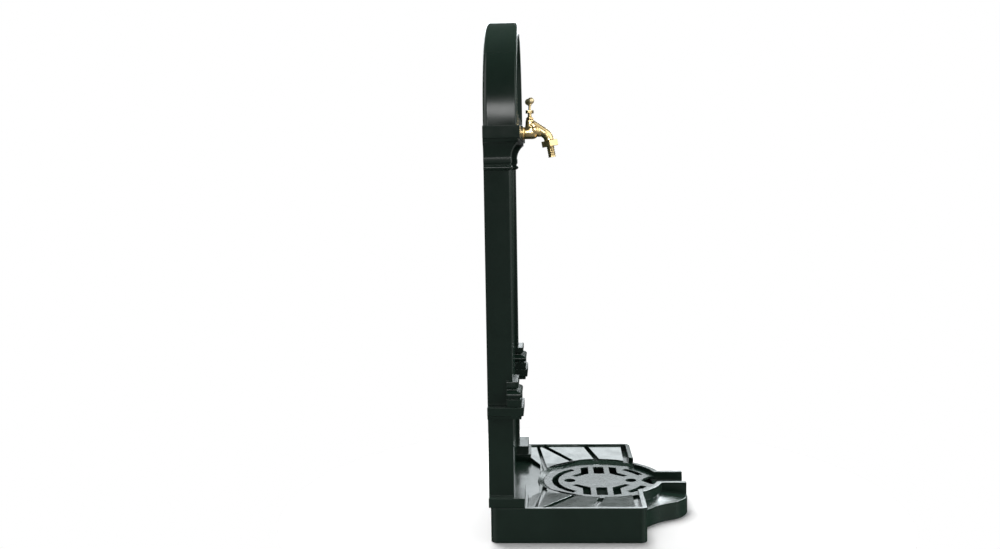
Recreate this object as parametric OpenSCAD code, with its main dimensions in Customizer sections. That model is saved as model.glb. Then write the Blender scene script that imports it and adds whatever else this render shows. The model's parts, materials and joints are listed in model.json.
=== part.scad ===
// Garden standpipe: a cast column with a round head on a base tray with a grille, and a brass bib tap.
// Millimetres. +Z is up, the front faces -Y, and the origin is under the middle of the outline.
// "Forward" below is the distance in front of the flat back.

/* [Base tray] */
// Half of the tray's width
tray_half_w = 222.5; // [215:0.5:235]
// Forward place of the tray's back edge
tray_back = 3; // [0:0.5:6]
// Forward place of the front rim's face
tray_front = 289; // [280:1:300]
// Forward place of the nose's flat end
nose_end = 382.5; // [375:0.5:395]
// Height of the rim
rim_z = 65.5; // [62:0.5:70]
// Thickness of the rim
rim_t = 9; // [6:0.5:12]
// Radius of the rim's corners
corner_r = 14; // [8:1:20]
// Height of the tray's floor
floor_z = 49; // [46:0.5:52]
// Thickness of the floor
floor_t = 5; // [4:0.5:7]
// Height of the raised plates above the floor
plate_h = 6; // [4:0.5:7]
// Fall of the plates towards the sump, in degrees
plate_fall = 3.5; // [2:0.5:4]
// Width of the drain grooves between the plates
groove_w = 9; // [6:0.5:12]
// Height of the ledge around the nose
ledge_z = 35; // [30:0.5:38]
// Rise of the ledge from the nose's edge to the cheeks' foot
ledge_rise = 7; // [5:0.5:8]
// Wall of the nose's skirt
skirt_t = 7; // [5:0.5:9]
// Inner half-width of the nose channel
channel_half_w = 31; // [27:0.5:36]
// Thickness of the channel's cheeks
cheek_t = 10; // [7:0.5:13]
// Rise of the cheeks above the plates
cheek_rise = 2.5; // [1.5:0.5:3.5]
// Height of the channel's floor
channel_z = 40; // [38:0.5:44]

/* [Sump and grille] */
// Forward place of the sump's centre
sump_forward = 214; // [208:0.5:218]
// Radius of the grille
grille_r = 114.5; // [108:0.5:120]
// Thickness of the grille
grille_t = 5; // [4:0.5:6]
// Gap between the grille and its seat
grille_gap = 0.5; // [0.3:0.1:1]
// Width of the seat under the grille
seat_w = 7; // [5:0.5:10]
// Wall of the sump
sump_wall = 11; // [8:0.5:13]
// Thickness of the sump's floor
sump_floor_t = 8; // [6:0.5:10]
// Width of the sloping band around the grille
cone_w = 13.5; // [8:0.5:16]
// Radius of the drain hole
drain_r = 20; // [15:0.5:25]
// Diameter of the circle of ground anchor holes
anchor_pcd = 160; // [130:2:180]
// Radius of an anchor hole
anchor_hole_r = 5.5; // [4:0.25:7]

/* [Column] */
// Forward place of the pilasters' faces
shaft_front = 46; // [45.5:0.5:50]
// Outer half-width of the pilasters
shaft_outer = 203; // [198:0.5:205]
// Width of a pilaster
shaft_w = 48; // [44:0.5:54]
// Largest step of the mouldings beside the pilaster
moulding = 17; // [15:0.5:17]
// Largest step of the mouldings in front of the pilaster
front_step = 20; // [18:0.5:22]
// Forward place of the recessed panel
panel_front = 39; // [38:0.5:42]
// Wall of the castings
wall_t = 4; // [3.5:0.25:4.5]
// Wall of the castings' sides
side_wall = 5; // [4:0.5:7]
// Height of the foot blocks
foot_h = 17.5; // [14:0.5:24]
// Height of the seam between pedestal and column
seam_z = 252; // [240:1:260]
// Height of the pedestal's cap
cap_h = 23; // [18:0.5:30]
// Forward place where the pilaster bases begin on the outer sides
base_return = 35.5; // [30:0.5:42]
// Height of the pilaster bases above the seam
base_h = 46; // [44:1:52]
// Height of the cornice's underside
cornice_z = 729.5; // [726:0.5:733]
// Height of the cornice
cornice_h = 28.5; // [26:0.5:32]
// Height of the capitals below the cornice
capital_h = 50; // [47:1:56]
// Radius of the head
head_r = 205; // [203:0.5:212]
// Height of the head's centre above the cornice
head_rise = 1; // [0.5:0.5:5]
// Forward place of the head's rim
head_front = 61; // [60.5:0.5:64]
// Width of the head's flat rim
head_rim_w = 18; // [12:0.5:26]
// Depth of the field inside the head's rim
field_depth = 8; // [4:0.5:9]
// Height of the border under the field
field_border = 22; // [18:0.5:30]
// Bevel around the head's front edge
head_bevel = 3; // [1:0.25:5]
// Rounding of the head's back edge
head_round = 9; // [4:0.5:12]
// Thickness of the rear covers
cover_t = 3; // [2:0.25:4]
// Gap around the rear covers
cover_gap = 0.5; // [0.3:0.1:1]
// Radius of the bosses behind the covers
boss_r = 6; // [5:0.25:8]
// Radius of the cover screws
cover_screw_r = 2; // [1.5:0.1:2.5]
// Length of the cover screws
cover_screw_l = 14; // [10:1:20]

/* [Frame bolts] */
// Radius of the bolts that join the castings
bolt_r = 4; // [3:0.5:5]
// Thickness of the castings' inner bolt shelves
shelf_t = 7; // [6:0.5:9]
// Distance between the two bolts in a pilaster
bolt_pitch = 17; // [16:0.5:18]
// Distance of the first bolt from the back
bolt_back = 16; // [15.5:0.5:17]

/* [Water feed] */
// Outer radius of the riser pipe
pipe_r = 7.5; // [6:0.25:8]
// Wall of the riser pipe
pipe_wall = 1; // [0.7:0.1:1.5]
// Forward place of the riser pipe
pipe_forward = 21.5; // [21:0.25:22]
// Radius of the half-inch pipe threads
thread_r = 10.48; // [10:0.02:11]
// Length of the inlet thread below the tray's floor
inlet_l = 30; // [22:1:36]
// Width across the flats of the pipe nuts
pipe_nut_af = 24; // [23:0.5:25]
// Width across the flats of the inlet locknut
locknut_af = 26; // [24:0.5:26.5]
// Height of the pipe clip
clip_z = 480; // [400:5:600]
// Height of the pipe clip's band
clip_h = 12; // [8:0.5:16]

/* [Tap] */
// Height of the tap's inlet above the cornice's underside
tap_z = 21.5; // [21:0.5:22.5]
// Distance of the spindle in front of the cornice's face
stem_forward = 14.5; // [14:0.5:17]
// Radius of the wall rose
rose_r = 14; // [13.5:0.25:15]
// Thickness of the wall rose
rose_t = 4; // [3:0.25:6]
// Radius of the tap's barrel
barrel_r = 12; // [11.5:0.25:12.5]
// Radius of the tap's upright at its top
upright_r = 8; // [7.9:0.1:8.3]
// Height of the upright's top above the inlet
body_rise = 26; // [25.75:0.25:26.5]
// Radius of the spout
spout_r = 9.6; // [9.4:0.1:9.8]
// Bend radius of the spout
spout_bend = 19.5; // [18:0.5:22]
// Fall of the spout where it leaves the upright, in degrees
spout_fall = 34; // [32:1:36]
// Tilt of the outlet from straight down, in degrees
outlet_tilt = 10; // [6:1:16]
// Width across the flats of the bonnet
bonnet_af = 14.5; // [14.5:0.25:15.5]
// Height of the bonnet's hexagon
bonnet_h = 3; // [2.75:0.25:3.5]
// Height of the bonnet's round part above its hexagon
bonnet_rise = 1.5; // [1.25:0.25:2]
// Height of the bonnet's sloping shoulder
shoulder_h = 1.5; // [1:0.25:3]
// Height of the bonnet's neck under the gland nut
neck_h = 6; // [5.5:0.25:6.5]
// Radius of the spindle
spindle_r = 2.4; // [2.3:0.1:2.6]
// Running clearance of the spindle, on the radius
running_gap = 0.05; // [0.02:0.01:0.1]
// Width across the flats of the gland nut
gland_af = 14; // [13:0.5:16]
// Height of the gland nut
gland_h = 6.3; // [5.5:0.1:7]
// Height of the tee bar above the inlet
tee_rise = 61.5; // [60:0.5:66]
// Length of the tee bar
tee_l = 48; // [40:1:49]
// Radius of the tee bar's round ends
tee_end_r = 6.6; // [5:0.1:7]
// Turn of the tee bar at rest, in degrees
tee_turn = 9; // [0:1:20]
// Rise of the valve for each turn of the handle
screw_pitch = 2; // [1.5:0.1:2.5]
// Turns of the handle from shut to open
open_turns = 2.5; // [1.5:0.5:2.5]
// Width across the flats of the union nut
union_af = 31.5; // [30.5:0.25:34]
// Height of the union nut
union_h = 11; // [10:0.25:14]
// Radius of the union's thread
union_thread_r = 13.2; // [12.8:0.05:13.5]
// Outer radius of the hose tail
tail_r = 7.5; // [6:0.1:8]
// Length of the hose tail below the nut
tail_l = 21.5; // [16:0.5:30]
// Number of ribs on the hose tail
tail_ribs = 4; // [2:1:5]

/* [Hidden] */
$fn = 64;
slip = 0.06;
eps = 0.01;
y_back = nose_end / 2;
plate_z = floor_z + plate_h;
sump_y = y_back - sump_forward;
sump_r = grille_r + grille_gap;
sump_outer_r = sump_r + sump_wall;
deck_r = sump_r + cone_w;
seat_z = floor_z + 0.5 - grille_t - 0.3;
grille_z = seat_z + 0.3;
foot_top = rim_z + foot_h;
shaft_inner = shaft_outer - shaft_w;
foot_inner = shaft_inner - moulding;
core_half_w = shaft_outer - side_wall;
core_front = panel_front - wall_t;
bolt_head_af = bolt_r * 3.25;
bolt_clear = 0.3;
bolt_reach = bolt_back + bolt_pitch + bolt_head_af / sqrt(3) + bolt_clear;
pocket_front = max(shaft_front - side_wall, bolt_reach);
pocket_inner = shaft_inner + side_wall;
base_top = seam_z + base_h;
capital_z = cornice_z - capital_h;
cornice_top = cornice_z + cornice_h;
cornice_front = shaft_front + front_step;
tap_axis_z = cornice_z + tap_z;
stem_place = cornice_front + stem_forward;
cornice_wall = 8;
head_z = cornice_top + head_rise;
head_core_r = core_half_w;
field_front = head_front - field_depth;
field_z = cornice_top + field_border;
bolt_w = (pocket_inner + core_half_w) / 2;
bolt_places = [bolt_back, bolt_back + bolt_pitch];
bolt_head_h = bolt_r * 1.35;
nut_h = bolt_r * 1.6;
pad_front = cornice_front + 5;
pad_slab = 8;
boss_w = foot_inner + 2;
column_boss_places = [[boss_w, base_top - 12], [boss_w, (base_top + capital_z) / 2],
                      [boss_w, capital_z + 20], [head_r * 0.55, head_z + head_r * 0.45]];
pedestal_boss_places = [[boss_w, foot_top + 16], [boss_w, seam_z - 30]];
elbow_end_z = tap_axis_z - 26;
pipe_top = elbow_end_z + 8;
joint_l = 18;
shank_end = cornice_front - cornice_wall - 24;
backnut_t = 8;
inlet_top = floor_z + 24;
inlet_low = floor_z - floor_t - inlet_l;
locknut_t = 7;
inlet_free_l = inlet_l - locknut_t - 2;
shank_r = thread_r - 0.2;
clip_boss_w = pipe_r + 13;
clip_t = 2;
clip_face = pipe_forward + 4;
barrel_end = stem_place + 5;
body_top = tap_axis_z + body_rise;
valve_seat_z = tap_axis_z - 1;
chamber_r = upright_r - 1.8;
bonnet_thread_l = 6;
bonnet_seal_t = 0.8;
hex_top = body_top + bonnet_h;
bonnet_shoulder_z = hex_top + bonnet_rise;
bonnet_top = bonnet_shoulder_z + shoulder_h + neck_h;
bonnet_r = bonnet_af / 2 - 1.2;
neck_r = spindle_r + 1.3;
screw_bore_top = bonnet_shoulder_z - 2;
gland_top = bonnet_top + gland_h;
screw_r = 3.9;
tee_z = tap_axis_z + tee_rise;
hub_z = tee_z - 8;
lift = screw_pitch * open_turns;
spout_axis_z = tap_axis_z + 18.826;
spout_run = 35.2;
spout_from = 6.5;
body_balls = [[2, 5.5, 11.2], [10, 5, 12.5], [18, 2.5, 10.5]];
bend_start = [stem_place + spout_run * cos(spout_fall), spout_axis_z - spout_run * sin(spout_fall)];
outlet_angle = 90 - outlet_tilt;
bend_end = [bend_start[0] + spout_bend * (sin(outlet_angle) - sin(spout_fall)),
            bend_start[1] - spout_bend * (cos(spout_fall) - cos(outlet_angle))];
outlet_bore = 5.2;
spout_step = 0.2;
seal_t = 1.5;
tail_flange_t = 2;
union_floor = 2.5;
tail_bore = tail_r - 2;
green = [0.05, 0.11, 0.09];
brass = [0.80, 0.62, 0.30];

// Points of a quadratic curve from a to c that leans towards b
function curve(a, b, c, n = 10) =
    [for (i = [0 : n]) let (t = i / n) a * (1 - t) * (1 - t) + b * 2 * t * (1 - t) + c * t * t];

// Points of an arc about a centre
function arc(centre, r, from, to, n = 12) =
    [for (i = [0 : n]) let (t = from + (to - from) * i / n) centre + r * [cos(t), sin(t)]];

function flipped(points) = [for (i = [len(points) - 1 : -1 : 0]) [-points[i][0], points[i][1]]];

// A box from half-width a to b on one side, between two forward places and two heights
module block(w0, w1, f0, f1, z0, z1) {
    translate([w0, y_back - f1, z0]) cube([w1 - w0, f1 - f0, z1 - z0]);
}

// A profile of [forward, height] points drawn out across the width
module across(points, w0, w1) {
    translate([w0, y_back, 0]) rotate([90, 0, 90]) linear_extrude(w1 - w0)
        polygon([for (p = points) [-p[0], p[1]]]);
}

// A profile of [width, height] points drawn out from the back to a forward place
module forward_from_back(points, depth) {
    translate([0, y_back, 0]) rotate([90, 0, 0]) linear_extrude(depth) polygon(points);
}

// A round bar along the depth
module bar_y(r, f0, f1, x = 0, z = 0) {
    translate([x, y_back - f0, z]) rotate([90, 0, 0]) cylinder(r = r, h = f1 - f0);
}

module hexagon(af, h) { rotate(30) cylinder(r = af / sqrt(3), h = h, $fn = 6); }

module both_sides() {
    children();
    mirror([1, 0, 0]) children();
}

// Base tray

// Half outline of the nose, from the tray's front to the flat end, set in by a distance
function nose_side(inset) = let (tip = nose_end - inset, w = tray_half_w - inset - 72.5)
    concat([[w, tray_front - rim_t]],
           curve([w, tray_front], [w - 37, tray_front + 23], [w - 52.5, tip - 36.5]),
           curve([w - 52.5, tip - 36.5], [w - 64, tip - 9.5], [w - 99, tip]));

module nose_solid(inset, height) {
    half = nose_side(inset);
    translate([0, y_back, 0]) mirror([0, 1, 0]) linear_extrude(height) polygon(concat(half, flipped(half)));
}

// Slope on the ledge, from the cheeks' foot down to just inside the nose's edge
module nose_slope() {
    half = nose_side(1);
    translate([0, y_back - tray_front, ledge_z - 1]) mirror([0, 1, 0])
        linear_extrude(ledge_rise + 1, scale = 0.45)
            translate([0, -tray_front]) polygon(concat(half, flipped(half)));
}

module rounded_plan(half_w, f0, f1, r, height) {
    block(-half_w + r, half_w - r, f0, f1, 0, height);
    block(-half_w, half_w, f0 + r, f1 - r, 0, height);
    for (x = [-half_w + r, half_w - r], f = [f0 + r, f1 - r])
        translate([x, y_back - f, 0]) cylinder(r = r, h = height);
}

module at_sump(z) { translate([0, sump_y, z]) children(); }

// A straight groove between two [width, forward] places, cut down to the floor
module groove(a, b, w0, w1) {
    d = b - a;
    n = [-d[1], d[0]] / norm(d);
    translate([0, y_back, floor_z]) mirror([0, 1, 0]) linear_extrude(rim_z)
        polygon([a + n * w0 / 2, b + n * w1 / 2, b - n * w1 / 2, a - n * w0 / 2]);
}

// Drain grooves between the plates, and the low floor in front of the panel
module plate_gaps() {
    inner_w = tray_half_w - rim_t;
    both_sides() {
        groove([inner_w, 86], [deck_r * 0.42, 104], groove_w * 0.7, groove_w);
        groove([inner_w, 98], [deck_r * 0.92, 158], groove_w * 1.2, groove_w);
        groove([inner_w, 191], [deck_r * 0.97, 213], groove_w, groove_w * 1.2);
    }
    block(-inner_w, inner_w, tray_front - rim_t - groove_w - 2, tray_front - rim_t, floor_z, rim_z);
    translate([0, y_back, floor_z]) mirror([0, 1, 0]) linear_extrude(rim_z)
        polygon([[foot_inner, tray_back + floor_t], [foot_inner, pad_front], [91, 92], [-91, 92],
                 [-foot_inner, pad_front], [-foot_inner, tray_back + floor_t]]);
}

module tray_solids() {
    inner_w = tray_half_w - rim_t;
    flat_w = deck_r * 0.8;
    low = plate_z + 0.6;
    half = [[flat_w, low], [inner_w, low + (inner_w - flat_w) * tan(plate_fall)], [inner_w, rim_z + 1]];
    difference() {
        rounded_plan(tray_half_w, tray_back, tray_front, corner_r, rim_z);
        translate([0, y_back - pad_front, 0]) rotate([90, 0, 0])
            linear_extrude(tray_front - rim_t - pad_front) polygon(concat(half, flipped(half)));
        block(-foot_inner, foot_inner, tray_back + floor_t, pad_front + 1, plate_z, rim_z + 1);
        plate_gaps();
        at_sump(plate_z) cylinder(r = deck_r, h = rim_z);
    }
    nose_solid(0, ledge_z);
    nose_slope();
    at_sump(0) cylinder(r = sump_outer_r, h = plate_z);
    block(-channel_half_w - cheek_t, channel_half_w + cheek_t, sump_forward, tray_front + 1, 0, plate_z);
    intersection() {
        union() {
            at_sump(0) cylinder(r = sump_outer_r, h = plate_z + cheek_rise);
            block(-channel_half_w - cheek_t, channel_half_w + cheek_t, tray_front, nose_end, 0, rim_z);
        }
        block(-tray_half_w, tray_half_w, tray_front, nose_end, 0, plate_z + cheek_rise);
    }
}

module tray_hollows() {
    inner_w = tray_half_w - rim_t;
    deck_under = floor_z - floor_t;
    difference() {
        union() {
            block(-inner_w, inner_w, tray_back + floor_t, tray_front - rim_t, -1, deck_under);
            both_sides() block(foot_inner + floor_t, inner_w, tray_back + floor_t, pad_front - floor_t,
                               -1, rim_z - pad_slab);
            intersection() {
                nose_solid(skirt_t, ledge_z - floor_t);
                block(-inner_w, inner_w, tray_front - rim_t - 1, nose_end, -1, ledge_z - floor_t);
            }
            translate([0, 0, -1]) intersection() {
                nose_solid(skirt_t, 2);
                block(-inner_w, inner_w, tray_front - rim_t - 1, nose_end, -1, 2);
            }
        }
        at_sump(-2) cylinder(r = sump_outer_r, h = rim_z);
    }
}

module base_tray() {
    color(green) difference() {
        tray_solids();
        tray_hollows();
        at_sump(sump_floor_t) cylinder(r = sump_r - seat_w, h = rim_z);
        at_sump(seat_z) cylinder(r = sump_r, h = rim_z);
        difference() {
            at_sump(floor_z) cylinder(r1 = sump_r, r2 = deck_r, h = plate_h + eps);
            block(-tray_half_w, tray_half_w, tray_front, nose_end, 0, rim_z);
        }
        block(-channel_half_w, channel_half_w, sump_forward + grille_r - 30, nose_end + 1,
              channel_z, rim_z + 1);
        at_sump(-1) cylinder(r = drain_r, h = sump_floor_t + 2);
        for (a = [45 : 90 : 315])
            at_sump(-1) rotate(a) translate([anchor_pcd / 2, 0, 0])
                cylinder(r = anchor_hole_r, h = sump_floor_t + 2);
        translate([0, y_back - pipe_forward, 0]) cylinder(r = thread_r + 0.3, h = rim_z);
        both_sides() for (f = bolt_places)
            translate([bolt_w, y_back - f, 0]) cylinder(r = bolt_r + bolt_clear, h = rim_z + 1);
    }
}

// A curved slot in the grille between two angles from the front
module arc_slot(r0, r1, from, to) {
    translate([0, 0, -1]) rotate(from - 90) rotate_extrude(angle = to - from)
        translate([r0, 0]) square([r1 - r0, grille_t + 2]);
}

module grille_plan(points) {
    translate([0, 0, -1]) linear_extrude(grille_t + 2) polygon([for (p = points) [p[0], -p[1]]]);
}

module drain_grille() {
    slot_in = grille_r * 0.41;
    slot_out = grille_r * 0.82;
    arc_in = grille_r * 0.745;
    arc_out = grille_r * 0.85;
    color([0.16, 0.19, 0.18]) at_sump(grille_z) difference() {
        cylinder(r = grille_r, h = grille_t);
        both_sides() {
            grille_plan([[slot_in, -10.5], [slot_out, -10.5], [slot_out, 10.5], [slot_in, 10.5]]);
            for (s = [-1, 1])
                grille_plan([[slot_out, 22 * s], [slot_in, 22 * s], [26, 48 * s], [31, 57 * s],
                             [slot_in + 5, 37 * s], [slot_out - 6, 37 * s]]);
            arc_slot(arc_in, arc_out, 24, 55);
        }
        arc_slot(arc_in, arc_out, 126, 234);
        for (s = [-1, 1]) translate([0, s * grille_r * 0.54, -1]) cylinder(r = 11, h = grille_t + 2);
        notch = [[2, grille_r * 0.73], [14, grille_r * 0.79], [25, grille_r * 0.87], [27, grille_r + 5]];
        grille_plan(concat(notch, flipped(notch)));
    }
}

// Column and pedestal

// Step of the pilaster's mouldings at each height, as [step, height] points from the ground up
pedestal_steps = [[moulding, rim_z], [moulding, foot_top], [0, foot_top], [0, seam_z - cap_h],
                  [moulding - 3.5, seam_z - cap_h + 0.5], [moulding - 3.5, seam_z - cap_h + 6.5],
                  [moulding, seam_z - cap_h + 7.5], [moulding, seam_z]];
torus_z = seam_z + 21.5;
column_steps = concat([[moulding - 3, seam_z], [moulding - 3, seam_z + 14], [moulding - 5, seam_z + 14.5]],
                      arc([moulding - 8, torus_z], 6, -70, 75, 8),
                      [[moulding - 10.5, torus_z + 8.5], [moulding - 11, torus_z + 11.5],
                       [moulding - 8, base_top - 11], [moulding - 7.5, base_top - 10.5],
                       [moulding - 7.5, base_top - 1], [moulding - 8.5, base_top],
                       [0, base_top], [0, capital_z]],
                      arc([0.5, capital_z + 4.5], 4, -80, 80, 8),
                      [[1.5, capital_z + 9], [1.5, capital_z + 12.5], [3, capital_z + 13],
                       [3, capital_z + 22], [2.2, capital_z + 22.8]],
                      curve([2.2, cornice_z - 26.5], [3, cornice_z - 12.5],
                            [moulding - 6, cornice_z - 2.6], 8),
                      [[moulding - 5, cornice_z - 2.3], [moulding - 5, cornice_z - 0.6],
                       [moulding - 3, cornice_z - 0.3], [moulding - 3, cornice_z + 1]]);

// One pilaster: its stepped profile from the side, cut to the same steps from the front
module pilaster(steps) {
    low = steps[0][1];
    high = steps[len(steps) - 1][1];
    depth = shaft_front + front_step + 1;
    gain = front_step / moulding;
    intersection() {
        across(concat([[0, low]], [for (s = steps) [shaft_front + s[0] * gain, s[1]]], [[0, high]]),
               foot_inner - 1, shaft_outer + moulding + 1);
        forward_from_back(concat([for (s = steps) [shaft_outer + s[0], s[1]]],
                                 [for (i = [len(steps) - 1 : -1 : 0])
                                  [shaft_inner - steps[i][0], steps[i][1]]]), depth);
    }
}

module bosses(places, front) {
    both_sides() for (p = places) bar_y(boss_r, cover_t, front, p[0], p[1]);
}

module boss_holes(places) {
    both_sides() for (p = places) bar_y(cover_screw_r + slip, -1, cover_screw_l + 1, p[0], p[1]);
}

// Inner bolt shelves in the pilasters, from one height up
module shelves(z) {
    both_sides() block(pocket_inner - 1, core_half_w + 1, 0, pocket_front + 1, z, z + shelf_t);
}

module bolt_holes(z0, z1) {
    both_sides() for (f = bolt_places)
        translate([bolt_w, y_back - f, z0]) cylinder(r = bolt_r + bolt_clear, h = z1 - z0);
}

// The room inside a casting's panel and pilasters
module core(z0, z1) {
    block(-core_half_w, core_half_w, -1, core_front, z0, z1);
    both_sides() block(pocket_inner, core_half_w, -1, pocket_front, z0, z1);
}

module pedestal() {
    color(green) difference() {
        union() {
            difference() {
                union() {
                    both_sides() pilaster(pedestal_steps);
                    block(-shaft_inner - 1, shaft_inner + 1, 0, panel_front, rim_z, seam_z);
                }
                core(rim_z - 1, seam_z + 1);
            }
            block(-foot_inner, foot_inner, core_front, panel_front, floor_z, rim_z + 1);
            intersection() {
                union() {
                    shelves(rim_z);
                    shelves(seam_z - shelf_t);
                }
                block(-core_half_w - 2, core_half_w + 2, cover_t + cover_gap, shaft_front, 0, seam_z);
            }
            bosses(pedestal_boss_places, core_front + 1);
        }
        bolt_holes(rim_z - 1, seam_z + 1);
        boss_holes(pedestal_boss_places);
    }
}

// A solid turned about the head's axis, cut off at a height
module head_turned(profile, z0) {
    intersection() {
        translate([0, y_back, head_z]) rotate([90, 0, 0]) rotate_extrude($fn = 96) polygon(profile);
        block(-head_r - 10, head_r + 10, -10, head_front + 10, z0, head_z + head_r + 10);
    }
}

module head() {
    rim_in = head_r - head_bevel - head_rim_w;
    difference() {
        union() {
            head_turned(concat([[0, 0]], arc([head_r - head_round, head_round], head_round, -90, 0, 8),
                               [[head_r, head_front - head_bevel], [head_r - head_bevel, head_front],
                                [0, head_front]]), head_z - eps);
            block(-head_r, head_r, 0, head_front - head_bevel, cornice_top - 1, head_z);
            block(-head_r + head_bevel, head_r - head_bevel, 0, head_front, cornice_top - 1, head_z);
        }
        head_turned([[0, field_front], [rim_in - field_depth / 2, field_front], [rim_in, head_front + 1],
                     [0, head_front + 1]], field_z);
        head_turned([[0, -1], [head_core_r, -1], [head_core_r, field_front - side_wall],
                     [0, field_front - side_wall]], head_z - eps);
    }
}

module column() {
    tap_pocket_half_w = 24;
    color(green) difference() {
        union() {
            difference() {
                union() {
                    both_sides() difference() {
                        pilaster(column_steps);
                        block(shaft_outer, head_r + moulding, -1, base_return, seam_z - 1, base_top + 1);
                    }
                    block(-shaft_inner - 1, shaft_inner + 1, 0, panel_front, seam_z, cornice_z + 1);
                    block(-shaft_outer - moulding, shaft_outer + moulding, 0, cornice_front,
                          cornice_z + 6.5, cornice_top);
                    block(-shaft_outer - moulding + 3, shaft_outer + moulding - 3, 0, cornice_front - 3.3,
                          cornice_z, cornice_z + 7);
                    head();
                    bar_y(rose_r + 1, shaft_front, cornice_front, 0, tap_axis_z);
                }
                core(seam_z - 1, head_z);
                block(-tap_pocket_half_w, tap_pocket_half_w, -1, cornice_front - cornice_wall,
                      cornice_z + 5, field_z - 4);
            }
            intersection() {
                shelves(seam_z);
                block(-core_half_w - 2, core_half_w + 2, cover_t + cover_gap, shaft_front,
                      seam_z, cornice_z);
            }
            bosses([for (i = [0 : 2]) column_boss_places[i]], core_front + 1);
            bosses([column_boss_places[3]], field_front - side_wall + 1);
            bar_y(boss_r, clip_face, core_front + 1, clip_boss_w, clip_z);
        }
        bolt_holes(seam_z - 1, seam_z + shelf_t + 1);
        boss_holes(column_boss_places);
        bar_y(cover_screw_r + slip, clip_face - 1, core_front - 1, clip_boss_w, clip_z);
        bar_y(thread_r + 0.3, 0, cornice_front + 1, 0, tap_axis_z);
    }
}

// Countersunk screws, and the matching holes in a cover
module csk(r, length, p) {
    translate([p[0], y_back, p[1]]) rotate([90, 0, 0]) {
        cylinder(r1 = r * 2, r2 = r, h = r);
        cylinder(r = r, h = length);
    }
}

module cover_holes(places) {
    both_sides() for (p = places) translate([0, 0.001, 0]) csk(cover_screw_r + 0.15, cover_t + 2, p);
}

module pedestal_rear_cover() {
    half = core_half_w - cover_gap;
    color(green) difference() {
        block(-half, half, 0, cover_t, rim_z + cover_gap, seam_z - cover_gap);
        cover_holes(pedestal_boss_places);
    }
}

module column_rear_cover() {
    half = core_half_w - cover_gap;
    color(green) difference() {
        union() {
            block(-half, half, 0, cover_t, seam_z + cover_gap, head_z);
            bar_y(half, 0, cover_t, 0, head_z);
        }
        cover_holes(column_boss_places);
    }
}

module pedestal_cover_screws() {
    color("silver") both_sides() for (p = pedestal_boss_places) csk(cover_screw_r, cover_screw_l, p);
}

module column_cover_screws() {
    color("silver") both_sides() for (p = column_boss_places) csk(cover_screw_r, cover_screw_l, p);
}

// Bolts through two shelves: the head stands on the upper face, the nut under the lower one
module frame_bolts(top, grip) {
    color("silver") both_sides() for (f = bolt_places) translate([bolt_w, y_back - f, top]) {
        hexagon(bolt_head_af, bolt_head_h);
        translate([0, 0, -grip - nut_h - 2]) cylinder(r = bolt_r, h = grip + nut_h + 2 + eps);
    }
}

module frame_nuts(under) {
    color("silver") both_sides() for (f = bolt_places) translate([bolt_w, y_back - f, under - nut_h])
        difference() {
            hexagon(bolt_head_af, nut_h);
            translate([0, 0, -1]) cylinder(r = bolt_r + slip, h = nut_h + 2);
        }
}

module foot_bolts() { frame_bolts(rim_z + shelf_t, shelf_t + pad_slab); }
module foot_nuts() { frame_nuts(rim_z - pad_slab); }
module joint_bolts() { frame_bolts(seam_z + shelf_t, 2 * shelf_t); }
module joint_nuts() { frame_nuts(seam_z - shelf_t); }

// Water feed

module at_pipe(z) { translate([0, y_back - pipe_forward, z]) children(); }

// A compression nut over a thread end at height 0, pointing up, and its olive
module pipe_nut() {
    shoulder = joint_l - 8;
    difference() {
        rotate(30) hexagon(pipe_nut_af, joint_l);
        translate([0, 0, -1]) cylinder(r = pipe_r + slip, h = joint_l + 2);
        translate([0, 0, -1]) cylinder(r = pipe_r + 3 + slip, h = shoulder + 1);
    }
}

module olive() {
    difference() {
        cylinder(r = pipe_r + 2, h = 4);
        translate([0, 0, -1]) cylinder(r = pipe_r + slip, h = 6);
    }
}

module inlet_connector() {
    flange_z = floor_z + seal_t;
    color(brass) at_pipe(0) difference() {
        union() {
            translate([0, 0, inlet_low]) cylinder(r = thread_r, h = inlet_free_l);
            translate([0, 0, inlet_low]) cylinder(r = shank_r, h = flange_z - inlet_low + 1);
            translate([0, 0, flange_z]) cylinder(r = thread_r + 2.8, h = 5);
            translate([0, 0, flange_z]) cylinder(r = pipe_r + 3, h = inlet_top - flange_z);
        }
        translate([0, 0, inlet_low - 1]) cylinder(r = pipe_r - pipe_wall, h = rim_z);
        translate([0, 0, inlet_top - 10]) cylinder(r = pipe_r + slip, h = 11);
    }
}

module inlet_seal() {
    color("black") at_pipe(floor_z) difference() {
        cylinder(r = thread_r + 2.5, h = seal_t);
        translate([0, 0, -1]) cylinder(r = shank_r + slip, h = seal_t + 2);
    }
}

module inlet_locknut() {
    color(brass) at_pipe(floor_z - floor_t - locknut_t) difference() {
        rotate(30) hexagon(locknut_af, locknut_t);
        translate([0, 0, -1]) cylinder(r = shank_r + slip, h = locknut_t + 2);
    }
}

module riser_pipe() {
    low = inlet_top - 10;
    color([0.72, 0.45, 0.30]) at_pipe(low) difference() {
        cylinder(r = pipe_r, h = pipe_top - low);
        translate([0, 0, -1]) cylinder(r = pipe_r - pipe_wall, h = pipe_top - low + 2);
    }
}

module riser_lower_nut() { color(brass) at_pipe(inlet_top - 6) pipe_nut(); }
module riser_upper_nut() { color(brass) at_pipe(elbow_end_z + 6) mirror([0, 0, 1]) pipe_nut(); }
module riser_lower_olive() { color(brass) at_pipe(inlet_top) olive(); }
module riser_upper_olive() { color(brass) at_pipe(elbow_end_z - 4) olive(); }

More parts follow.
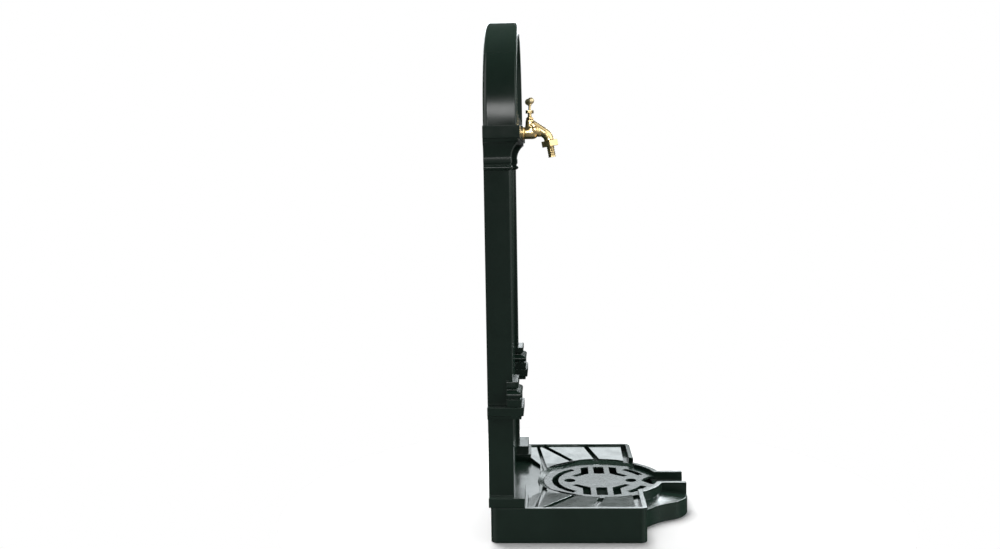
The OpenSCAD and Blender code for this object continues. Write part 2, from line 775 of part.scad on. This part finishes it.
module pipe_clip() {
    color("dimgray") difference() {
        union() {
            at_pipe(clip_z - clip_h / 2) cylinder(r = pipe_r + clip_t, h = clip_h);
            block(0, clip_boss_w + boss_r, clip_face - clip_t, clip_face,
                  clip_z - clip_h / 2, clip_z + clip_h / 2);
        }
        at_pipe(clip_z - clip_h) cylinder(r = pipe_r + slip, h = 2 * clip_h);
        bar_y(cover_screw_r + 0.15, 0, clip_face + 1, clip_boss_w, clip_z);
    }
}

module pipe_clip_screw() {
    head_h = 2.5;
    color("silver") {
        bar_y(cover_screw_r * 1.9, clip_face - clip_t - head_h, clip_face - clip_t, clip_boss_w, clip_z);
        bar_y(cover_screw_r, clip_face - clip_t - eps, core_front - 2, clip_boss_w, clip_z);
    }
}

module tap_elbow() {
    socket_front = cornice_front - cornice_wall - backnut_t - 1;
    elbow_r = thread_r + 3;
    color(brass) difference() {
        union() {
            bar_y(elbow_r, pipe_forward, socket_front, 0, tap_axis_z);
            translate([0, y_back - pipe_forward, tap_axis_z]) sphere(r = elbow_r);
            at_pipe(elbow_end_z) cylinder(r = pipe_r + 3, h = tap_axis_z - elbow_end_z);
        }
        bar_y(thread_r + slip, shank_end, socket_front + 1, 0, tap_axis_z);
        bar_y(pipe_r - pipe_wall, pipe_forward, socket_front, 0, tap_axis_z);
        at_pipe(elbow_end_z - 1) cylinder(r = pipe_r - pipe_wall, h = tap_axis_z - elbow_end_z + 1);
        at_pipe(elbow_end_z - 1) cylinder(r = pipe_r + slip, h = pipe_top - elbow_end_z + 1);
    }
}

module tap_backnut() {
    inner = cornice_front - cornice_wall;
    color(brass) translate([0, y_back - inner + backnut_t, tap_axis_z]) rotate([90, 0, 0]) difference() {
        rotate(30) hexagon(2 * thread_r + 6, backnut_t);
        translate([0, 0, -1]) cylinder(r = thread_r + slip, h = backnut_t + 2);
    }
}

// Tap

module at_stem(z) { translate([0, y_back - stem_place, z]) children(); }

module tap_flange() {
    color(brass) translate([0, y_back - cornice_front, tap_axis_z]) rotate([90, 0, 0]) rotate_extrude()
        polygon([[thread_r + slip, 0], [rose_r, 0], [rose_r, rose_t / 3], [rose_r - 2, rose_t * 0.8],
                 [rose_r - 2.6, rose_t], [thread_r + slip, rose_t]]);
}

// Places things at the outlet's end, with +Z pointing out along the outlet
module at_outlet(s) {
    translate([0, y_back - bend_end[0], bend_end[1]]) rotate([180 - outlet_tilt, 0, 0]) translate([0, 0, s])
        children();
}

// A tube along the spout's centre line, with a small step where its straight run meets the bend
module spout_tube(r, from) {
    translate([0, y_back - stem_place, spout_axis_z]) rotate([90 + spout_fall, 0, 0])
        translate([0, 0, from]) cylinder(r = r + spout_step, h = spout_run + 1 - from);
    centre = [bend_start[0] - spout_bend * sin(spout_fall), bend_start[1] - spout_bend * cos(spout_fall)];
    translate([0, y_back - centre[0], centre[1]]) rotate([0, -90, 180]) rotate([0, 0, spout_fall])
        rotate_extrude(angle = outlet_angle - spout_fall) translate([spout_bend, 0]) circle(r = r);
}

module tap_body() {
    thread_l = 5;
    shoulder_front = cornice_front + rose_t;
    color(brass) difference() {
        union() {
            bar_y(thread_r, shank_end, shoulder_front + 1, 0, tap_axis_z);
            bar_y(barrel_r, shoulder_front, barrel_end, 0, tap_axis_z);
            translate([0, y_back - barrel_end, tap_axis_z]) sphere(r = barrel_r);
            at_stem(tap_axis_z) cylinder(r1 = upright_r + 2, r2 = upright_r, h = body_rise);
            for (ball = body_balls)
                at_stem(tap_axis_z) translate([0, -ball[0], ball[1]]) sphere(r = ball[2]);
            spout_tube(spout_r, spout_from);
            translate([0, y_back - stem_place, spout_axis_z]) rotate([90 + spout_fall, 0, 0])
                translate([0, 0, spout_from]) sphere(r = spout_r + spout_step);
            at_outlet(-1) cylinder(r = spout_r + spout_step, h = 2);
            at_outlet(1) cylinder(r1 = spout_r + spout_step, r2 = union_thread_r, h = 1);
            at_outlet(2) cylinder(r = union_thread_r, h = thread_l);
        }
        at_stem(valve_seat_z) cylinder(r = chamber_r, h = body_rise + 5);
        at_stem(tap_axis_z - 5.5) cylinder(r = 3.6, h = 8);
        bar_y(3, shank_end - 1, stem_place + 1, 0, tap_axis_z - 5.5);
        bar_y(6, shank_end - 1, cornice_front - 4, 0, tap_axis_z - 2);
        difference() {
            spout_tube(outlet_bore, 0);
            at_stem(0) cylinder(r = chamber_r - 2, h = valve_seat_z);
        }
        at_outlet(-1) cylinder(r = outlet_bore + spout_step, h = thread_l + 4);
    }
}

module bonnet() {
    gland_thread_r = gland_af / 2 - 1.4;
    box_h = 3;
    color(brass) at_stem(0) difference() {
        union() {
            translate([0, 0, body_top - bonnet_thread_l])
                cylinder(r = chamber_r - slip, h = bonnet_thread_l + bonnet_seal_t + 1);
            translate([0, 0, body_top + bonnet_seal_t])
                rotate(30) hexagon(bonnet_af, bonnet_h - bonnet_seal_t);
            rotate_extrude() polygon([[0, hex_top - 1], [bonnet_r, hex_top - 1],
                                      [bonnet_r, bonnet_shoulder_z],
                                      [neck_r, bonnet_shoulder_z + shoulder_h], [neck_r, bonnet_top + 1],
                                      [0, bonnet_top + 1]]);
            translate([0, 0, bonnet_top]) cylinder(r = gland_thread_r, h = gland_h - 2);
        }
        translate([0, 0, body_top - bonnet_thread_l - 1])
            cylinder(r = screw_r + running_gap, h = screw_bore_top - body_top + bonnet_thread_l + 1);
        translate([0, 0, tap_axis_z]) cylinder(r = spindle_r + running_gap, h = tee_rise);
        translate([0, 0, gland_top - 2 - box_h]) cylinder(r = spindle_r + 1.3, h = box_h + 1);
    }
}

module bonnet_seal() {
    color("saddlebrown") at_stem(body_top) difference() {
        cylinder(r = bonnet_af / 2 - 0.1, h = bonnet_seal_t);
        translate([0, 0, -1]) cylinder(r = chamber_r + slip, h = bonnet_seal_t + 2);
    }
}

module gland_nut() {
    gland_thread_r = gland_af / 2 - 1.4;
    color(brass) at_stem(bonnet_top) difference() {
        hexagon(gland_af, gland_h);
        translate([0, 0, -1]) cylinder(r = gland_thread_r + slip, h = gland_h - 1 + eps);
        cylinder(r = spindle_r + running_gap, h = gland_h + 1);
    }
}

module gland_packing() {
    box_h = 3;
    color("black") at_stem(gland_top - 2 - box_h) difference() {
        cylinder(r = spindle_r + 1.3 - slip, h = box_h);
        translate([0, 0, -1]) cylinder(r = spindle_r + running_gap, h = box_h + 2);
    }
}

// Spindle: a screw in the bonnet, a socket for the jumper below and a plain end in the handle above
spindle_low = valve_seat_z + 6.5;
spindle_screw_top = screw_bore_top - lift - 0.5;
jumper_r = 1.6;

module spindle() {
    color(brass) at_stem(0) difference() {
        union() {
            translate([0, 0, spindle_low]) cylinder(r = screw_r, h = spindle_screw_top - spindle_low);
            translate([0, 0, spindle_low]) cylinder(r = spindle_r, h = tee_z - spindle_low - 2);
        }
        translate([0, 0, spindle_low - 1]) cylinder(r = jumper_r + running_gap, h = 7);
        translate([0, 0, hub_z + 2]) rotate([0, 0, tee_turn]) translate([0, 20, 0]) rotate([90, 0, 0])
            cylinder(r = 1 + slip, h = 40);
    }
}

module tee_handle() {
    hub_r = spindle_r + 1.5;
    waist_r = tee_end_r * 0.62;
    half = tee_l / 2;
    color(brass) at_stem(0) rotate([0, 0, tee_turn]) difference() {
        union() {
            translate([0, 0, hub_z]) cylinder(r = hub_r, h = tee_z - hub_z);
            translate([0, 0, tee_z]) rotate([0, 90, 0]) rotate_extrude() polygon(concat([[0, -half]],
                arc([0, -half + tee_end_r], tee_end_r, -80, 50, 10), [[waist_r, -half + tee_end_r * 2.6],
                [waist_r + 1.2, 0], [waist_r, half - tee_end_r * 2.6]],
                arc([0, half - tee_end_r], tee_end_r, -50, 80, 10), [[0, half]]));
        }
        translate([0, 0, hub_z - 1]) cylinder(r = spindle_r + slip, h = tee_z - hub_z - 1 + eps);
        translate([0, 20, hub_z + 2]) rotate([90, 0, 0]) cylinder(r = 1 + slip, h = 40);
    }
}

module handle_pin() {
    color("silver") at_stem(hub_z + 2) rotate([0, 0, tee_turn]) translate([0, spindle_r + 1.5, 0])
        rotate([90, 0, 0]) cylinder(r = 1, h = 2 * spindle_r + 3);
}

washer_t = 2;
washer_r = 4.6;
washer_low = valve_seat_z + 0.3;

module jumper() {
    color(brass) at_stem(washer_low + washer_t) {
        cylinder(r = washer_r + 0.4, h = 1.6);
        translate([0, 0, 1.6 - eps])
            cylinder(r = jumper_r, h = spindle_low + 5 - washer_low - washer_t - 1.6);
        translate([0, 0, -washer_t - 2]) cylinder(r = 1.5, h = washer_t + 2 + eps);
    }
}

module valve_washer() {
    color("black") at_stem(washer_low) difference() {
        cylinder(r = washer_r, h = washer_t);
        translate([0, 0, -1]) cylinder(r = 1.5 + slip, h = washer_t + 2);
    }
}

module washer_nut() {
    color(brass) at_stem(washer_low - 2) difference() {
        hexagon(5.5, 2);
        translate([0, 0, -1]) cylinder(r = 1.5 + slip, h = 4);
    }
}

// Hose union
union_top = 1.5;
seal_s = 7;
flange_s = seal_s + seal_t;
union_floor_s = flange_s + tail_flange_t;

module union_nut() {
    color(brass) at_outlet(0) difference() {
        translate([0, 0, union_top]) rotate(30) hexagon(union_af, union_floor_s + union_floor - union_top);
        translate([0, 0, union_top - 1])
            cylinder(r = union_thread_r + slip, h = union_floor_s - union_top + 1);
        cylinder(r = tail_r + 0.4, h = union_h * 3);
    }
}

module outlet_seal() {
    color("black") at_outlet(seal_s) difference() {
        cylinder(r = union_thread_r - 0.4, h = seal_t);
        translate([0, 0, -1]) cylinder(r = outlet_bore, h = seal_t + 2);
    }
}

module hose_tail() {
    rib_pitch = tail_l / (tail_ribs + 1);
    rib_start = union_floor_s + union_floor + rib_pitch / 2;
    root_r = tail_r - 0.8;
    end_s = union_floor_s + union_floor + tail_l;
    ribs = [for (i = [0 : tail_ribs - 1], p = [[root_r, 0], [tail_r, 0.8], [root_r, rib_pitch * 0.8]])
            [p[0], rib_start + i * rib_pitch + p[1]]];
    color(brass) at_outlet(0) difference() {
        union() {
            translate([0, 0, flange_s]) cylinder(r = union_thread_r - 0.4, h = tail_flange_t);
            rotate_extrude() polygon(concat([[0, flange_s], [tail_r, flange_s],
                                             [tail_r, union_floor_s + union_floor]], ribs,
                                            [[tail_r, end_s - 1.5], [tail_r, end_s], [0, end_s]]));
        }
        translate([0, 0, flange_s - 1]) cylinder(r = tail_bore, h = end_s - flange_s + 2);
    }
}

base_tray();
drain_grille();
foot_bolts();
foot_nuts();
pedestal();
column();
pedestal_rear_cover();
column_rear_cover();
pedestal_cover_screws();
column_cover_screws();
joint_bolts();
joint_nuts();
inlet_connector();
inlet_seal();
inlet_locknut();
riser_pipe();
riser_lower_nut();
riser_upper_nut();
riser_lower_olive();
riser_upper_olive();
pipe_clip();
pipe_clip_screw();
tap_elbow();
tap_backnut();
tap_flange();
tap_body();
bonnet();
bonnet_seal();
gland_nut();
gland_packing();
spindle();
tee_handle();
handle_pin();
jumper();
valve_washer();
washer_nut();
union_nut();
hose_tail();
outlet_seal();
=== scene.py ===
"""Looks of the garden standpipe: dark green painted castings and a polished brass tap, on a pale floor."""
import json
import math

import bmesh
import bpy
from mathutils import Matrix, Vector


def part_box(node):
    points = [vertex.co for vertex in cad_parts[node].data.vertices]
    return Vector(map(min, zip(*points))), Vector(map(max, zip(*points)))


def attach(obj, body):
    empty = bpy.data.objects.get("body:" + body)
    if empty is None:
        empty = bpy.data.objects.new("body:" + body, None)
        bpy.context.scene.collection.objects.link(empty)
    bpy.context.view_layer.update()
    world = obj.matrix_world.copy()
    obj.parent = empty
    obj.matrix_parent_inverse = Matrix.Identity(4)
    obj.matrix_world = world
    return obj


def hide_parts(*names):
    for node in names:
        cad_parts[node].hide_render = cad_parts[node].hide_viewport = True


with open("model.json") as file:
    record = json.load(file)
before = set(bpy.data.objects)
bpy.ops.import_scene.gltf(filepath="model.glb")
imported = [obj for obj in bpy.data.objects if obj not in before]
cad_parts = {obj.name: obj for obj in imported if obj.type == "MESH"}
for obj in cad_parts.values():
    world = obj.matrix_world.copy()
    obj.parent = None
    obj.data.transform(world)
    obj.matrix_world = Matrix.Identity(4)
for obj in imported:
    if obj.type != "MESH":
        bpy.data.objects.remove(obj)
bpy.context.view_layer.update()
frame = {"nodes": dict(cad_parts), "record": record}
scene = bpy.context.scene

# Materials: most of a noise texture's values lie between these two
NOISE_LOW, NOISE_HIGH = 0.3, 0.7


def new_material(name, metallic=0.0):
    mat = bpy.data.materials.new(name)
    mat.use_nodes = True
    nodes, links = mat.node_tree.nodes, mat.node_tree.links
    shader = nodes["Principled BSDF"]
    shader.inputs["Metallic"].default_value = metallic
    coords = nodes.new("ShaderNodeTexCoord")
    return mat, nodes, links, shader, coords.outputs["Object"]


def noise(nodes, links, coords, scale, detail=3.0, rough=0.5, stretch=None):
    tex = nodes.new("ShaderNodeTexNoise")
    tex.inputs["Scale"].default_value = scale
    tex.inputs["Detail"].default_value = detail
    tex.inputs["Roughness"].default_value = rough
    if stretch:
        mapping = nodes.new("ShaderNodeMapping")
        mapping.inputs["Scale"].default_value = stretch
        links.new(coords, mapping.inputs["Vector"])
        coords = mapping.outputs["Vector"]
    links.new(coords, tex.inputs["Vector"])
    return tex.outputs["Fac"]


def ramp(nodes, links, value, low, high):
    node = nodes.new("ShaderNodeValToRGB")
    start, end = node.color_ramp.elements
    start.position, start.color = NOISE_LOW, (*low, 1.0)
    end.position, end.color = NOISE_HIGH, (*high, 1.0)
    links.new(value, node.inputs["Fac"])
    return node.outputs["Color"]


def spread(nodes, links, value, low, high):
    node = nodes.new("ShaderNodeMapRange")
    node.inputs["From Min"].default_value = NOISE_LOW
    node.inputs["From Max"].default_value = NOISE_HIGH
    node.inputs["To Min"].default_value = low
    node.inputs["To Max"].default_value = high
    links.new(value, node.inputs["Value"])
    return node.outputs["Result"]


def bump(nodes, links, value, strength, distance, normal=None):
    node = nodes.new("ShaderNodeBump")
    node.inputs["Strength"].default_value = strength
    node.inputs["Distance"].default_value = distance
    links.new(value, node.inputs["Height"])
    if normal is not None:
        links.new(normal, node.inputs["Normal"])
    return node.outputs["Normal"]


def paint(name, low, high, rough):
    mat, nodes, links, shader, coords = new_material(name)
    tone = noise(nodes, links, coords, scale=14.0, detail=4.0)
    links.new(ramp(nodes, links, tone, low, high), shader.inputs["Base Color"])
    cloud = noise(nodes, links, coords, scale=45.0)
    links.new(spread(nodes, links, cloud, rough - 0.03, rough + 0.04), shader.inputs["Roughness"])
    wave = noise(nodes, links, coords, scale=38.0, detail=2.0)
    wave_normal = bump(nodes, links, wave, strength=0.10, distance=0.0010)
    peel = noise(nodes, links, coords, scale=620.0)
    peel_normal = bump(nodes, links, peel, strength=0.12, distance=0.0001, normal=wave_normal)
    links.new(peel_normal, shader.inputs["Normal"])
    shader.inputs["IOR"].default_value = 1.5
    shader.inputs["Specular IOR Level"].default_value = 0.30
    return mat


def metal(name, low, high, rough, grain=1.0, stretch=None):
    mat, nodes, links, shader, coords = new_material(name, metallic=1.0)
    tone = noise(nodes, links, coords, scale=90.0, detail=4.0)
    links.new(ramp(nodes, links, tone, low, high), shader.inputs["Base Color"])
    cloud = noise(nodes, links, coords, scale=160.0, detail=4.0, rough=0.6, stretch=stretch)
    links.new(spread(nodes, links, cloud, rough * 0.75, rough * 1.4), shader.inputs["Roughness"])
    fine = noise(nodes, links, coords, scale=900.0, rough=0.6, stretch=stretch)
    links.new(bump(nodes, links, fine, strength=0.10 * grain, distance=0.0001), shader.inputs["Normal"])
    return mat


def matte(name, low, high, rough):
    mat, nodes, links, shader, coords = new_material(name)
    tone = noise(nodes, links, coords, scale=220.0, detail=5.0)
    links.new(ramp(nodes, links, tone, low, high), shader.inputs["Base Color"])
    cloud = noise(nodes, links, coords, scale=300.0)
    links.new(spread(nodes, links, cloud, rough - 0.06, rough + 0.06), shader.inputs["Roughness"])
    grain = noise(nodes, links, coords, scale=1500.0, detail=4.0)
    links.new(bump(nodes, links, grain, strength=0.25, distance=0.0002), shader.inputs["Normal"])
    return mat


def pale_floor():
    mat, nodes, links, shader, coords = new_material("pale_floor")
    tone = noise(nodes, links, coords, scale=3.0, detail=2.0)
    links.new(ramp(nodes, links, tone, (0.90, 0.90, 0.90), (0.92, 0.92, 0.92)), shader.inputs["Base Color"])
    shader.inputs["Roughness"].default_value = 0.9
    shader.inputs["Specular IOR Level"].default_value = 0.1
    return mat


green_paint = paint("green_paint", (0.0064, 0.0150, 0.0105), (0.0084, 0.0190, 0.0135), rough=0.20)
grille_paint = paint("grille_paint", (0.0066, 0.0150, 0.0115), (0.0088, 0.0195, 0.0150), rough=0.26)
brass = metal("polished_brass", (0.77, 0.58, 0.27), (0.86, 0.67, 0.35), rough=0.27)
satin_brass = metal("satin_brass", (0.88, 0.72, 0.42), (0.95, 0.80, 0.51), rough=0.46)
copper = metal("copper", (0.60, 0.26, 0.15), (0.74, 0.36, 0.22), rough=0.28, stretch=(1.0, 1.0, 0.05))
zinc = metal("zinc_steel", (0.48, 0.49, 0.50), (0.62, 0.63, 0.64), rough=0.34, grain=1.6)
rubber = matte("rubber", (0.012, 0.012, 0.012), (0.028, 0.028, 0.028), rough=0.72)
fibre = matte("fibre", (0.22, 0.030, 0.015), (0.34, 0.055, 0.028), rough=0.78)
FINISH = {"green_paint": green_paint, "grille_paint": grille_paint, "polished_brass": brass,
          "copper": copper, "zinc_steel": zinc, "rubber": rubber, "fibre": fibre}


def dress(obj, mat):
    obj.data.materials.clear()
    obj.data.materials.append(mat)


slot_of = {part["node"]: part["material_slot"] for part in frame["record"]["subparts"]}
body_of = {node: body for body, nodes in frame["record"]["behaviour"]["bodies"].items() for node in nodes}
for node, obj in frame["nodes"].items():
    dress(obj, FINISH[slot_of[node]])
dress(frame["nodes"]["tee_handle"], satin_brass)


def stand_in(mesh, node):
    obj = bpy.data.objects.new(mesh.name, mesh)
    scene.collection.objects.link(obj)
    dress(obj, FINISH[slot_of[node]])
    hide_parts(node)
    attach(obj, body_of[node])
    return obj


# Pieces with eased edges, each made from a copy of its solid: widths in metres, angles in degrees
EASE_WIDTHS = {"base_tray": 0.0010, "pedestal": 0.0008, "column": 0.0008, "drain_grille": 0.0007,
               "union_nut": 0.0005, "bonnet": 0.0004, "gland_nut": 0.0004, "tap_flange": 0.0004,
               "hose_tail": 0.0002}
EASE_SEGMENTS = 2
EASE_ROOM = 1.6
SHARP_ANGLE = 30.0
STRAIGHT_ANGLE = 150.0
FLAT_ANGLE = 0.6
SHADE_ANGLE = 40.0
WELD = 2e-6
STANDS_OUT = 2e-5


def has_room(edge, width):
    for face in edge.link_faces:
        for vert in edge.verts:
            for other in vert.link_edges:
                if other is edge or other not in face.edges:
                    continue
                along = edge.other_vert(vert).co - vert.co
                turn = along.angle(other.other_vert(vert).co - vert.co, math.pi)
                reach = other.calc_length() * math.sin(turn)
                if turn < math.radians(STRAIGHT_ANGLE) and reach < EASE_ROOM * width:
                    return False
    return True


def eased(node, width):
    mesh = frame["nodes"][node].data.copy()
    mesh.name = node + "_eased"
    bm = bmesh.new()
    bm.from_mesh(mesh)
    bmesh.ops.remove_doubles(bm, verts=bm.verts, dist=WELD)
    bmesh.ops.dissolve_limit(bm, angle_limit=math.radians(FLAT_ANGLE), verts=bm.verts, edges=bm.edges)
    sharp = [edge for edge in bm.edges if len(edge.link_faces) == 2
             and edge.calc_face_angle(0.0) > math.radians(SHARP_ANGLE) and has_room(edge, width)]
    bmesh.ops.bevel(bm, geom=sharp, offset=width, offset_type="OFFSET", segments=EASE_SEGMENTS, profile=0.5,
                    affect="EDGES", clamp_overlap=False, miter_outer="SHARP", miter_inner="SHARP")
    bmesh.ops.remove_doubles(bm, verts=bm.verts, dist=WELD)
    bm.normal_update()
    low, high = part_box(node)
    over = max(max(max(low[i] - v.co[i], v.co[i] - high[i]) for i in range(3)) for v in bm.verts)
    if over > STANDS_OUT:
        print("eased", node, "stands out by", round(over * 1000, 3), "mm")
    bm.to_mesh(mesh)
    bm.free()
    mesh.shade_smooth()
    mesh.set_sharp_from_angle(angle=math.radians(SHADE_ANGLE))
    weighted = stand_in(mesh, node).modifiers.new("flat_faces", "WEIGHTED_NORMAL")
    weighted.keep_sharp = True


for node, width in EASE_WIDTHS.items():
    eased(node, width)

# The tap's cast body, with its barrel, upright and spout run into each other
CAST_VOXEL = 0.0005
CAST_ROUNDS = 40
CAST_KEPT = 0.25


def cast_blend(node):
    source = bpy.data.objects.new(node + "_blank", frame["nodes"][node].data.copy())
    scene.collection.objects.link(source)
    remesh = source.modifiers.new("remesh", "REMESH")
    remesh.mode, remesh.voxel_size = "VOXEL", CAST_VOXEL
    smooth = source.modifiers.new("smooth", "SMOOTH")
    smooth.factor, smooth.iterations = 0.5, CAST_ROUNDS
    thin = source.modifiers.new("thin", "DECIMATE")
    thin.ratio = CAST_KEPT
    mesh = bpy.data.meshes.new_from_object(source.evaluated_get(bpy.context.evaluated_depsgraph_get()))
    bpy.data.objects.remove(source)
    mesh.name = node + "_cast"
    mesh.shade_smooth()
    stand_in(mesh, node)


cast_blend("tap_body")

# Floor, a hair below the tray
FLOOR_RADIUS = 0.62
FLOOR_DROP = 0.0002

floor_mesh = bpy.data.meshes.new("floor")
bm = bmesh.new()
bmesh.ops.create_circle(bm, cap_ends=True, segments=96, radius=FLOOR_RADIUS)
bm.to_mesh(floor_mesh)
bm.free()
floor = bpy.data.objects.new("floor", floor_mesh)
floor.location = (0.0, 0.0, -FLOOR_DROP)
scene.collection.objects.link(floor)
dress(floor, pale_floor())
floor.visible_glossy = False

# World: how bright reflections find it by direction, where X runs away from the camera and Y to its left
BACK, CEILING, ROOM, WINGS = 0.10, 0.12, 0.06, 2.2
FLOOR_BACK, FLOOR_NEAR, FLOOR_ASIDE = 0.05, 0.22, 0.45
MATTE_LIGHT, SEEN_WHITE = 0.22, 1.0
# Where each region fades in, as parts of a unit direction
BEHIND, SIDEWAYS, OVERHEAD, HORIZON = (-0.10, 0.30), (0.42, 0.62), (0.40, 0.80), (-0.02, 0.01)


def fade(nodes, links, value, start, end, low=0.0, high=1.0):
    node = nodes.new("ShaderNodeMapRange")
    node.interpolation_type = "SMOOTHSTEP"
    for name, number in (("From Min", start), ("From Max", end), ("To Min", low), ("To Max", high)):
        node.inputs[name].default_value = number
    links.new(value, node.inputs["Value"])
    return node.outputs["Result"]


def blend(nodes, links, factor, first, second):
    node = nodes.new("ShaderNodeMix")
    links.new(factor, node.inputs["Factor"])
    for name, value in (("A", first), ("B", second)):
        if isinstance(value, float):
            node.inputs[name].default_value = value
        else:
            links.new(value, node.inputs[name])
    return node.outputs["Result"]


def studio_world():
    world = bpy.data.worlds.new("studio")
    world.use_nodes = True
    nodes, links = world.node_tree.nodes, world.node_tree.links
    coords = nodes.new("ShaderNodeTexCoord")
    direction = nodes.new("ShaderNodeSeparateXYZ")
    links.new(coords.outputs["Generated"], direction.inputs["Vector"])
    aside = nodes.new("ShaderNodeMath")
    aside.operation = "ABSOLUTE"
    links.new(direction.outputs["Y"], aside.inputs[0])
    behind = fade(nodes, links, direction.outputs["X"], *BEHIND)
    sideways = fade(nodes, links, aside.outputs[0], *SIDEWAYS)
    above = fade(nodes, links, direction.outputs["Z"], *OVERHEAD, ROOM, CEILING)
    around = blend(nodes, links, behind, blend(nodes, links, sideways, above, WINGS), BACK)
    underfoot = blend(nodes, links, sideways, FLOOR_NEAR, FLOOR_ASIDE)
    below = blend(nodes, links, behind, underfoot, FLOOR_BACK)
    lit = blend(nodes, links, fade(nodes, links, direction.outputs["Z"], *HORIZON), below, around)
    path = nodes.new("ShaderNodeLightPath")
    soft = blend(nodes, links, path.outputs["Is Diffuse Ray"], lit, MATTE_LIGHT)
    strength = blend(nodes, links, path.outputs["Is Camera Ray"], soft, SEEN_WHITE)
    backdrop = nodes["Background"]
    links.new(strength, backdrop.inputs["Strength"])
    backdrop.inputs["Color"].default_value = (1.0, 1.0, 1.0, 1.0)
    return world


scene.world = studio_world()


# Lights

def aim(obj, place, target, roll=0.0):
    look = (Vector(target) - Vector(place)).to_track_quat("-Z", "Y").to_matrix().to_4x4()
    obj.matrix_world = Matrix.Translation(place) @ look @ Matrix.Rotation(roll, 4, "Z")


def softbox(name, place, target, width, height, power):
    light = bpy.data.lights.new(name, "AREA")
    light.shape = "RECTANGLE"
    light.size, light.size_y, light.energy = width, height, power
    obj = bpy.data.objects.new(name, light)
    scene.collection.objects.link(obj)
    aim(obj, place, target)
    return obj


def panel(name, away, left, right, low, high, radiance):
    middle, height = (left + right) / 2, (low + high) / 2
    obj = softbox(name, (away, middle, height), (0.0, middle, height), left - right, high - low,
                  radiance * math.pi * (left - right) * (high - low))
    obj.data.color = (0.91, 0.97, 1.0)
    obj.visible_camera = obj.visible_diffuse = False
    return obj


def only_on(light, name, objects):
    group = bpy.data.collections.new(name)
    for obj in objects:
        group.objects.link(obj)
    light.light_linking.receiver_collection = group


def finished_in(*mats):
    return [obj for obj in scene.objects
            if obj.type == "MESH" and obj.data.materials and obj.data.materials[0] in mats]


key_light = softbox("light_behind_camera", place=(-4.0, 0.35, 2.05), target=(0.0, 0.15, 0.79),
                    width=2.2, height=1.0, power=66.0)
key_light.visible_diffuse = False
fill_light = softbox("light_front_fill", place=(-4.0, 0.0, 0.60), target=(0.0, 0.0, 0.50),
                     width=2.0, height=1.0, power=16.0)
fill_light.visible_glossy = False
top_light = softbox("light_above", place=(0.9, 0.45, 2.4), target=(0.0, 0.0, 0.0),
                    width=1.6, height=2.0, power=98.0)
top_light.visible_glossy = False

# Bright panels behind the object: a high sweep, its dimmer low part on the left, and a near one for the nose
panel("sweep", away=4.8, left=3.0, right=-3.0, low=1.55, high=2.70, radiance=5.6)
panel("sweep_low", away=4.8, left=2.6, right=0.20, low=0.60, high=1.30, radiance=2.2)
nose_panel = panel("sweep_right", away=0.45, left=-0.19, right=-0.60, low=0.34, high=0.52, radiance=52.0)
only_on(nose_panel, "lit_tray", [bpy.data.objects["base_tray_eased"]])

# One more light for the tap, and one for the castings' fronts
tap_light = softbox("light_tap", place=(-2.6, 1.0, 2.1), target=(0.0, -0.06, 0.80),
                    width=1.8, height=1.4, power=90.0)
only_on(tap_light, "lit_tap", finished_in(brass, satin_brass))
front_light = softbox("light_front", place=(0.5, -3.2, 1.8), target=(0.0, 0.0, 0.5),
                      width=2.0, height=2.0, power=150.0)
front_light.visible_camera = front_light.visible_glossy = False
only_on(front_light, "lit_front", finished_in(green_paint, grille_paint))

# Camera, as fitted to the photo: place in metres, angles in radians
CAMERA_PLACE = (-2.0574, 0.07685, 0.6834)
CAMERA_YAW, CAMERA_PITCH, CAMERA_ROLL = 0.0473, 0.1023, math.radians(-0.945)
CAMERA_LENS, CAMERA_SENSOR = 37.306, 36.0
FAR_AWAY = 200.0

camera_data = bpy.data.cameras.new("camera")
camera_data.sensor_fit = "HORIZONTAL"
camera_data.sensor_width = CAMERA_SENSOR
camera_data.lens = CAMERA_LENS
camera_data.clip_end = FAR_AWAY
camera = bpy.data.objects.new("camera", camera_data)
scene.collection.objects.link(camera)
aim(camera, CAMERA_PLACE, (CAMERA_PLACE[0] + math.cos(CAMERA_YAW) * math.cos(CAMERA_PITCH),
                           CAMERA_PLACE[1] + math.sin(CAMERA_YAW) * math.cos(CAMERA_PITCH),
                           CAMERA_PLACE[2] - math.sin(CAMERA_PITCH)), CAMERA_ROLL)
scene.camera = camera
scene.view_settings.view_transform = "Standard"
scene.view_settings.look = "None"
